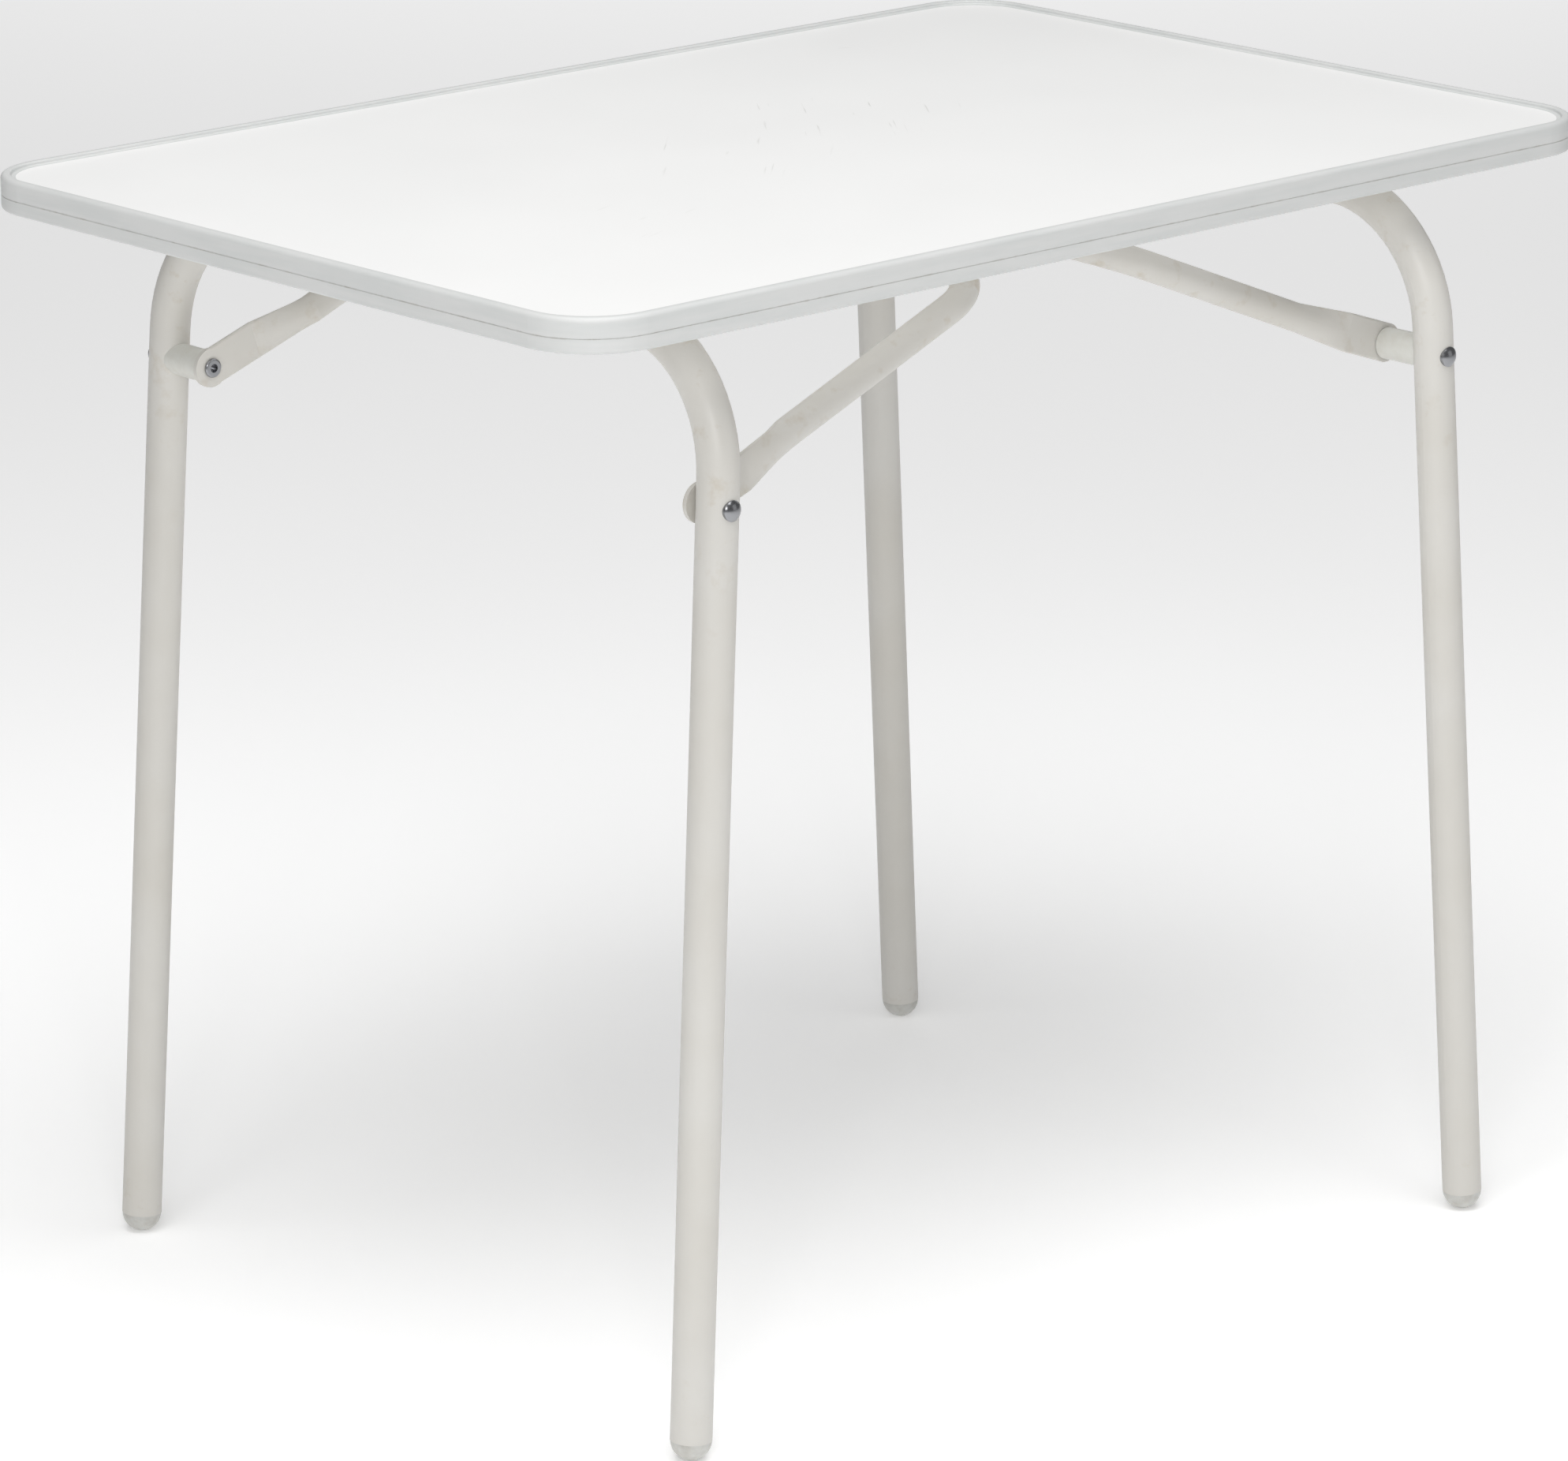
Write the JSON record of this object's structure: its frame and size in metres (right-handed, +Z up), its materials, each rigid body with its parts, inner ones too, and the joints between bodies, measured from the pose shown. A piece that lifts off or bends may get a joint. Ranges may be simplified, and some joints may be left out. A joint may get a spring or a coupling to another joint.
{
  "type": "folding table",
  "caption": "Low rectangular folding table: a rimmed board on bent tube leg frames that swing in under it, each held open by a tube brace.",
  "frame": {"origin": "centre of the footprint, on the floor", "axes": "+X along the table's long side, +Y across it, +Z up"},
  "size_m": [0.84, 0.5748, 0.7],
  "materials": {
    "board": "melamine-faced board, satin white",
    "rim": "moulded plastic edge, satin cool white",
    "painted_tube": "cream powder coat on steel tube",
    "spacer_plastic": "white moulded plastic",
    "foot_plastic": "grey-white polyethylene, slightly translucent",
    "rivet_metal": "bright nickel-plated steel",
    "clamp_plastic": "white moulded plastic",
    "screw_metal": "zinc-plated steel"
  },
  "bodies": {
    "tabletop": {"table_board": "board", "edge_rim": "rim", "leg_clamp_a_left": "clamp_plastic", "leg_clamp_a_right": "clamp_plastic", "leg_clamp_b_left": "clamp_plastic", "leg_clamp_b_right": "clamp_plastic", "brace_clip_a_left": "clamp_plastic", "brace_clip_a_right": "clamp_plastic", "brace_clip_b_left": "clamp_plastic", "brace_clip_b_right": "clamp_plastic", "clamp_screws": "screw_metal", "clip_screws": "screw_metal"},
    "leg_frame_a": {"leg_frame_a": "painted_tube", "spacer_a": "spacer_plastic", "foot_a_left": "foot_plastic", "foot_a_right": "foot_plastic", "rivet_a_left": "rivet_metal", "rivet_a_right": "rivet_metal"},
    "brace_a": {"brace_a": "painted_tube"},
    "leg_frame_b": {"leg_frame_b": "painted_tube", "spacer_b": "spacer_plastic", "foot_b_left": "foot_plastic", "foot_b_right": "foot_plastic", "rivet_b_left": "rivet_metal", "rivet_b_right": "rivet_metal"},
    "brace_b": {"brace_b": "painted_tube"}
  },
  "joints": [
    {"name": "leg_a_fold", "type": "hinge", "parent": "tabletop", "child": "leg_frame_a", "pos_m": [-0.2794, 0, 0.662], "axis": [0, -1, 0], "range_deg": [0, 89.4]},
    {"name": "brace_a_swing", "type": "hinge", "parent": "leg_frame_a", "child": "brace_a", "pos_m": [-0.28539, 0, 0.56649], "axis": [0, -1, 0], "range_deg": [-114, 0]},
    {"name": "leg_b_fold", "type": "hinge", "parent": "tabletop", "child": "leg_frame_b", "pos_m": [0.2794, 0, 0.662], "axis": [0, 1, 0], "range_deg": [0, 89.4]},
    {"name": "brace_b_swing", "type": "hinge", "parent": "leg_frame_b", "child": "brace_b", "pos_m": [0.28539, 0, 0.56649], "axis": [0, 1, 0], "range_deg": [-132, 0]}
  ],
  "couplings": [
    {"joint": "brace_a_swing", "follows": "leg_a_fold", "ratio": -1.2713},
    {"joint": "brace_b_swing", "follows": "leg_a_fold", "ratio": -1.4726},
    {"joint": "leg_b_fold", "follows": "leg_a_fold", "ratio": 1}
  ]
}
